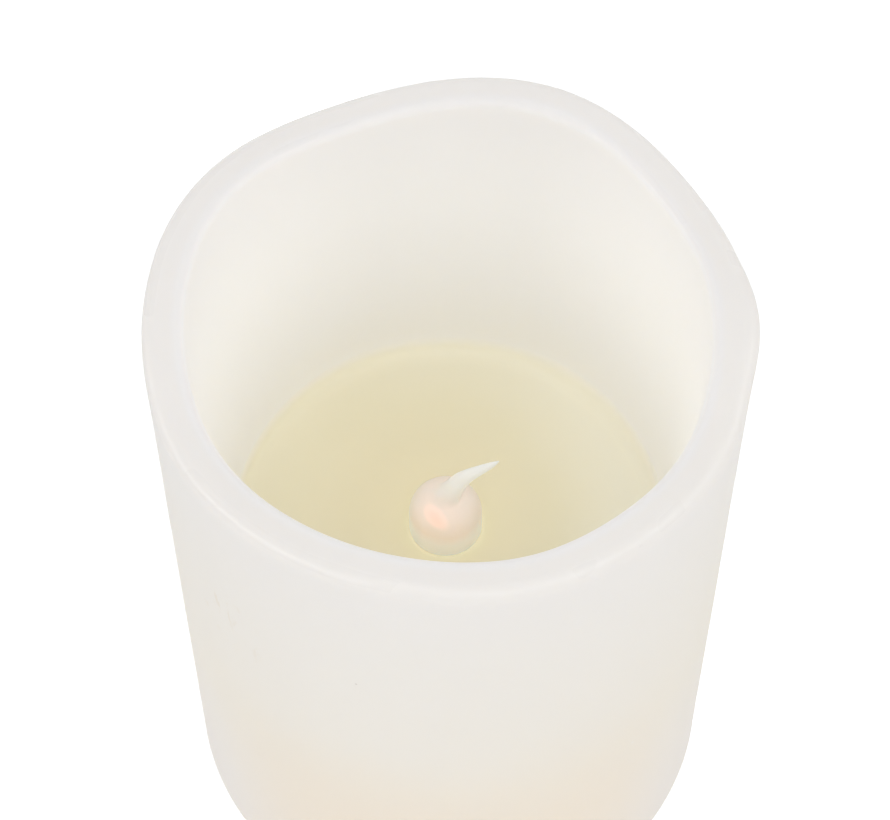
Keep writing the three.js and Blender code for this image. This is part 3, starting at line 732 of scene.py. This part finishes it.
def board_material():
    """Green solder mask over a net of copper tracks, with tinned pads in a regular grid."""
    n = Nodes("circuit_board")
    net = {
        "Vector": n.position(),
        "Scale": 1.0,
        "Mortar Size": 0.22 * MM,
        "Mortar Smooth": 0.1,
        "Brick Width": 3.4 * MM,
        "Row Height": 1.7 * MM,
    }
    tracks = n.put("TexBrick", net, offset=0.35).outputs["Fac"]
    grid = {"Vector": n.position(), "Scale": 1 / PAD_SPACING, "Randomness": 0.0}
    pads = n.put("TexVoronoi", grid)
    pad = n.map(pads.outputs["Distance"], 0.26, 0.2)
    weave = n.noise(700, 2.0)
    mask = n.mix(n.map(weave, 0.3, 0.7), srgb(24, 92, 52), srgb(18, 78, 44))
    mask = n.mix(tracks, mask, srgb(46, 128, 70))
    n.set(
        Base_Color=n.mix(pad, mask, srgb(196, 196, 190)),
        Metallic=n.times(pad, 0.9),
        Roughness=n.map(weave, 0.3, 0.7, 0.28, 0.4),
    )
    n.bump(n.add(tracks, pad), 0.03 * MM, 0.6)
    return n.material


def sleeve_material(name, node, stripe_turn):
    """A capacitor's shrink sleeve, with a pale stripe down one side and a bare top."""
    n = Nodes(name)
    low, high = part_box(node)
    middle = (low + high) / 2
    x, y, z = (n.axes()[a] for a in "XYZ")
    angle = n.math("ARCTAN2", n.math("SUBTRACT", y, middle.y), n.math("SUBTRACT", x, middle.x))
    stripe = n.math("LESS_THAN", n.away(angle, stripe_turn), STRIPE_HALF)
    top = n.math("GREATER_THAN", z, high.z - 0.12 * MM)
    scuff = n.noise(900, 3.0)
    body = n.mix(n.map(scuff, 0.4, 0.75), srgb(28, 30, 36), srgb(46, 48, 54))
    body = n.mix(stripe, body, srgb(188, 190, 186))
    n.set(
        Base_Color=n.mix(top, body, srgb(205, 206, 208)),
        Metallic=top,
        Roughness=n.map(scuff, 0.3, 0.7, 0.26, 0.42),
    )
    n.bump(scuff, 0.008 * MM, 0.4)
    return n.material


def resistor_material():
    """A tan resistor with four painted bands round its body and bare leads."""
    n = Nodes("resistor_body")
    low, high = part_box("led_resistor")
    x = n.math("SUBTRACT", n.axes()["X"], (low.x + high.x) / 2)
    grain = n.noise(800, 3.0)
    colour = n.mix(n.map(grain, 0.3, 0.7), srgb(203, 176, 130), srgb(190, 160, 112))
    for place, paint in RESISTOR_BANDS:
        band = n.math("LESS_THAN", n.away(x, place * MM), BAND_HALF)
        colour = n.mix(band, colour, srgb(*paint))
    lead = n.math("GREATER_THAN", n.math("ABSOLUTE", x), RESISTOR_HALF)
    n.set(
        Base_Color=n.mix(lead, colour, srgb(198, 198, 196)),
        Metallic=lead,
        Roughness=n.map(grain, 0.3, 0.7, 0.3, 0.42),
    )
    n.bump(grain, 0.01 * MM, 0.4)
    return n.material


def cell_material(name, node, toward):
    """A plain battery: a graphite sleeve, a copper band at the positive end and bare
    steel at both ends. The positive end points along X one way or the other."""
    n = Nodes(name)
    low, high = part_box(node)
    middle = (low + high) / 2
    half = (high.x - low.x) / 2
    x, y, z = (n.axes()[a] for a in "XYZ")
    along = n.times(n.math("SUBTRACT", x, middle.x), toward)
    radius = n.length(n.away(y, middle.y), n.away(z, middle.z))
    ends = n.math("LESS_THAN", radius, CELL_RADIUS - 0.55 * MM)
    copper = n.math("GREATER_THAN", along, half - 12 * MM)
    rings = [n.math("LESS_THAN", n.away(along, at * MM), 0.35 * MM) for at in (-19.0, -17.6)]
    scuff = n.noise(300, 4.0, 0.6, n.stretched((0.3, 1.0, 1.0)))
    colour = n.mix(n.map(scuff, 0.4, 0.75), srgb(38, 42, 48), srgb(56, 60, 66))
    colour = n.mix(copper, colour, srgb(196, 120, 66))
    for one in rings:
        colour = n.mix(one, colour, srgb(196, 120, 66))
    n.set(
        Base_Color=n.mix(ends, colour, srgb(205, 206, 206)),
        Metallic=n.math("MAXIMUM", ends, n.times(copper, 0.6)),
        Roughness=n.map(scuff, 0.3, 0.75, 0.22, 0.4),
    )
    n.bump(scuff, 0.006 * MM, 0.4)
    return n.material


def cell(node, toward):
    """One AAA cell lying along X: its can, the sleeve's rolled ends, the crimped seal
    and the raised nub, with its positive end towards +X or -X."""
    low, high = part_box(node)
    middle = (low + high) / 2
    half = (high.x - low.x) / 2
    can = half - 0.9 * MM
    r = CELL_RADIUS
    profile = [
        # The negative end: a flat plate inside the sleeve's rolled edge.
        (3.2 * MM, -half + 0.12 * MM),
        (3.5 * MM, -half),
        (3.9 * MM, -half),
        (4.1 * MM, -half + 0.2 * MM),
        (r - 0.75 * MM, -half + 0.2 * MM),
        *arc((r - 0.5 * MM, -half + 0.6 * MM), 0.5 * MM, -90, 0, 6),
        # The sleeve, up to its edge at the positive end.
        *line((r, -half + 0.6 * MM), (r, can - 0.6 * MM), 12),
        *arc((r - 0.5 * MM, can - 0.5 * MM), 0.5 * MM, 0, 90, 6),
        # The crimped seal and the nub.
        (r - 0.8 * MM, can),
        (r - 0.9 * MM, can - 0.25 * MM),
        (3.4 * MM, can - 0.25 * MM),
        (3.1 * MM, can - 0.05 * MM),
        (2.1 * MM, can - 0.05 * MM),
        (1.95 * MM, can + 0.1 * MM),
        (1.85 * MM, half - 0.3 * MM),
        *arc((1.55 * MM, half - 0.3 * MM), 0.3 * MM, 0, 90, 4),
    ]
    piece = turned(node + "_cell", profile)
    for v in piece.data.vertices:
        across, up, along = v.co
        v.co = (middle.x + toward * along, middle.y + toward * across, middle.z + up)
    stand_for(piece, node, "candle")
    piece.data.materials.append(cell_material(node + "_sleeve", node, toward))


def spring(node, side):
    """A conical spring wound round X, wide at its contact plate on the given side and
    narrow at its cell, with its turns a little closer at both ends."""
    low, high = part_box(node)
    middle = (low + high) / 2
    ends = [low.x + SPRING_WIRE, high.x - SPRING_WIRE]
    wide, narrow = ends[::-1] if side > 0 else ends
    first, last = smooth_step(-0.25, 1.25, 0), smooth_step(-0.25, 1.25, 1)
    path = []
    for i in range(SPRING_STEPS + 1):
        t = i / SPRING_STEPS
        angle = 2 * math.pi * SPRING_TURNS * t
        radius = SPRING_WIDE + (SPRING_NARROW - SPRING_WIDE) * t
        share = (smooth_step(-0.25, 1.25, t) - first) / (last - first)
        path.append(Vector((
            wide + (narrow - wide) * share,
            middle.y + radius * math.cos(angle),
            middle.z + radius * math.sin(angle),
        )))
    piece = tube(node + "_coil", path, [SPRING_WIRE] * len(path), 12)
    return stand_for(piece, node, "candle")


def crisp(piece, width):
    """Rounds a CAD piece's edges a little, shades its round faces smooth and keeps its
    flat faces flat."""
    for polygon in piece.data.polygons:
        polygon.use_smooth = True
    weld = piece.modifiers.new("weld", "WELD")
    weld.merge_threshold = 0.001 * MM
    bevel = piece.modifiers.new("edges", "BEVEL")
    bevel.width = width
    bevel.segments = 2
    bevel.limit_method = "ANGLE"
    bevel.angle_limit = math.radians(35)
    bevel.harden_normals = True
    split = piece.modifiers.new("sharp", "EDGE_SPLIT")
    split.split_angle = math.radians(35)
    flats = piece.modifiers.new("flats", "WEIGHTED_NORMAL")
    flats.weight = 90


def finish_insert():
    """Gives each piece of the insert its finish, and makes its cells and springs."""
    white = moulded("white_plastic", (240, 239, 234), (232, 231, 225))
    black = moulded("black_plastic", (30, 30, 32), (40, 40, 42), 0.36, 1800)
    wafer = moulded("switch_wafer", (150, 98, 52), (128, 80, 40), 0.5, 700)
    tinned = metal("tinned_steel", (208, 208, 206), 0.28, (1.0, 1.0, 0.1))
    nickel = metal("contact_nickel", (214, 212, 206), 0.22, (1.0, 0.12, 1.0))
    steel = metal("screw_steel", (188, 190, 192), 0.3, (0.15, 1.0, 1.0))
    red = pvc("red_pvc", (186, 34, 26), (206, 66, 56))
    dark = pvc("black_pvc", (24, 24, 25), (48, 48, 50))
    # Each piece's finish and how far its edges are rounded, in millimetres.
    finishes = {
        "insert_base": (white, 0.15),
        "insert_cover": (white, 0.2),
        "battery_door": (white, 0.12),
        "led_holder": (black, 0.12),
        "control_chip": (black, 0.06),
        "switch_knob": (black, 0.1),
        "switch_wafer": (wafer, 0.05),
        "switch_can": (tinned, 0.06),
        "led_anode_lead": (tinned, 0.04),
        "led_cathode_lead": (tinned, 0.04),
        "timer_crystal": (tinned, 0.15),
        "positive_contact": (nickel, 0.06),
        "negative_contact": (nickel, 0.06),
        "bridge_contact": (nickel, 0.06),
        "led_lamp": (clear_epoxy(), 0.08),
        "circuit_board": (board_material(), 0.05),
        "capacitor": (sleeve_material("capacitor_sleeve", "capacitor", STRIPE_TURN), 0.05),
        "led_resistor": (resistor_material(), 0.05),
        "anode_sleeve": (dark, 0.03),
        "cathode_sleeve": (dark, 0.03),
        "lamp_wire_red": (red, 0.0),
        "lamp_wire_black": (dark, 0.0),
        "battery_wire_red": (red, 0.0),
        "battery_wire_black": (dark, 0.0),
    }
    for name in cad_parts:
        if name.startswith(("case_screw", "board_screw")):
            finishes[name] = (steel, 0.08)
    for name, (material, width) in finishes.items():
        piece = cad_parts[name]
        piece.data.materials.clear()
        piece.data.materials.append(material)
        crisp(piece, width * MM)
    cell("battery_1", 1)
    cell("battery_2", -1)
    for node, side in (("negative_spring", 1), ("bridge_spring", -1)):
        spring(node, side).data.materials.append(nickel)


# ---------------------------------------------------------------- stage
FLOOR_HALF = 3.0
FLOOR_LIGHT = 0.47  # what the floor sends up to the candle
FLOOR_SEEN = 0.75  # with its own reflection, white to the camera
SKY_LIGHT = 0.74
LIGHT_AIM = Vector((0, 0, 0.06))
STRIP_WIDTH = 0.1


def add_light(name, place, power):
    data = bpy.data.lights.new(name, "AREA")
    data.energy = power
    light = bpy.data.objects.new(name, data)
    light.location = place
    bpy.context.scene.collection.objects.link(light)
    return light


def soft_light(name, place, size, power):
    light = add_light(name, place, power)
    light.data.shape = "DISK"
    light.data.size = size
    aim = LIGHT_AIM - Vector(place)
    light.rotation_euler = aim.to_track_quat("-Z", "Y").to_euler()


def strip_light(name, start, end, power):
    """A narrow lamp between two points that only shows in the object's gloss."""
    start, end = Vector(start), Vector(end)
    middle = (start + end) / 2
    light = add_light(name, middle, power)
    light.data.shape = "RECTANGLE"
    light.data.size = (end - start).length
    light.data.size_y = STRIP_WIDTH
    away = (middle - LIGHT_AIM).normalized()
    along = (end - start).normalized()
    light.rotation_euler = Matrix((along, away.cross(along), away)).transposed().to_euler()
    light.visible_diffuse = False
    light.visible_transmission = False


def make_floor():
    mesh = bpy.data.meshes.new("floor")
    sides = ((-1, -1), (1, -1), (1, 1), (-1, 1))
    corners = [(x * FLOOR_HALF, y * FLOOR_HALF, 0) for x, y in sides]
    mesh.from_pydata(corners, [], [(0, 1, 2, 3)])
    floor = add_object("floor", mesh, smooth=False)
    n = Nodes("pale_floor")
    seen = n.put("LightPath").outputs["Is Camera Ray"]
    n.set(
        Base_Color=(0.5, 0.5, 0.5),
        Roughness=0.9,
        Specular_IOR_Level=0.0,
        Emission_Color=(1, 1, 1),
        Emission_Strength=n.map(seen, 0.0, 1.0, FLOOR_LIGHT, FLOOR_SEEN),
    )
    mesh.materials.append(n.material)


def make_sky():
    """A plain white studio all round, whiter to the camera than it lights the object."""
    world = bpy.data.worlds.new("studio")
    world.use_nodes = True
    tree = world.node_tree
    back = tree.nodes["Background"]
    back.inputs["Color"].default_value = (1, 1, 1, 1)
    back.inputs["Strength"].default_value = SKY_LIGHT
    shown = tree.nodes.new("ShaderNodeBackground")
    shown.inputs["Color"].default_value = (1, 1, 1, 1)
    path = tree.nodes.new("ShaderNodeLightPath")
    mix = tree.nodes.new("ShaderNodeMixShader")
    tree.links.new(path.outputs["Is Camera Ray"], mix.inputs["Fac"])
    tree.links.new(back.outputs["Background"], mix.inputs[1])
    tree.links.new(shown.outputs["Background"], mix.inputs[2])
    tree.links.new(mix.outputs["Shader"], tree.nodes["World Output"].inputs["Surface"])
    bpy.context.scene.world = world
    bpy.context.scene.view_settings.view_transform = "Standard"


def make_stage():
    make_floor()
    make_sky()
    soft_light("soft_key", (0.05, -0.45, 1.0), 0.5, 1.3)
    strip_light("left_strip", (-0.75, 0.15, 0.22), (-0.25, -0.62, 0.5), 1.6)
    strip_light("right_strip", (0.8, 0.3, 0.25), (0.05, -0.68, 0.56), 2.2)


make_camera()
make_stage()
wax = wax_body()
wax.data.materials.append(wax_material())
bulb = flame_bulb()
bulb.data.materials.append(bulb_material())
finish_insert()
